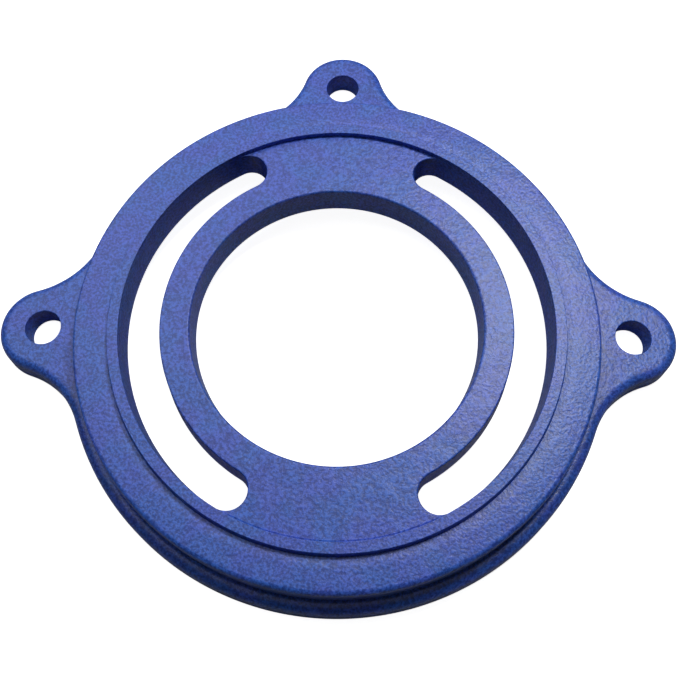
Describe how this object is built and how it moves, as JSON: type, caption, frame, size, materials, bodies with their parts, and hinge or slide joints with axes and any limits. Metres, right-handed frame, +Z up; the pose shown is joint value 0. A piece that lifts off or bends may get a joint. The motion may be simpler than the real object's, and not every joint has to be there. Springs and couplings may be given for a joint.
{
  "type": "vice swivel base",
  "caption": "Round cast-iron swivel base for a bench vice, with a raised seat lip, a wide bore, arc slots, bolt-down lugs and clamping nuts that travel in the hollow underneath.",
  "frame": {"origin": "middle of the footprint, on the bench face; the swivel axis is the vertical line through x 0, y -12 mm", "axes": "+X runs from the left lug to the right lug, +Y points to the rear lug, +Z points up out of the bench"},
  "size_m": [0.2312, 0.2072, 0.022],
  "materials": {
    "blue_paint": "semi-matt enamel over a rough casting, finely speckled",
    "zinc_plate": "zinc-plated steel, satin"
  },
  "bodies": {
    "base": {"base_casting": "blue_paint"},
    "rear_nut": {"slot_nut_rear": "zinc_plate"},
    "front_nut": {"slot_nut_front": "zinc_plate"}
  },
  "joints": [
    {"name": "rear_nut_travel", "type": "hinge", "parent": "base", "child": "rear_nut", "pos_m": [0, -0.012, 0.0046], "axis": [0, 0, 1], "range_deg": [-150, 150]},
    {"name": "front_nut_travel", "type": "hinge", "parent": "base", "child": "front_nut", "pos_m": [0, -0.012, 0.0046], "axis": [0, 0, 1], "range_deg": [-150, 150]}
  ],
  "couplings": [
    {"joint": "front_nut_travel", "follows": "rear_nut_travel", "ratio": 1}
  ]
}
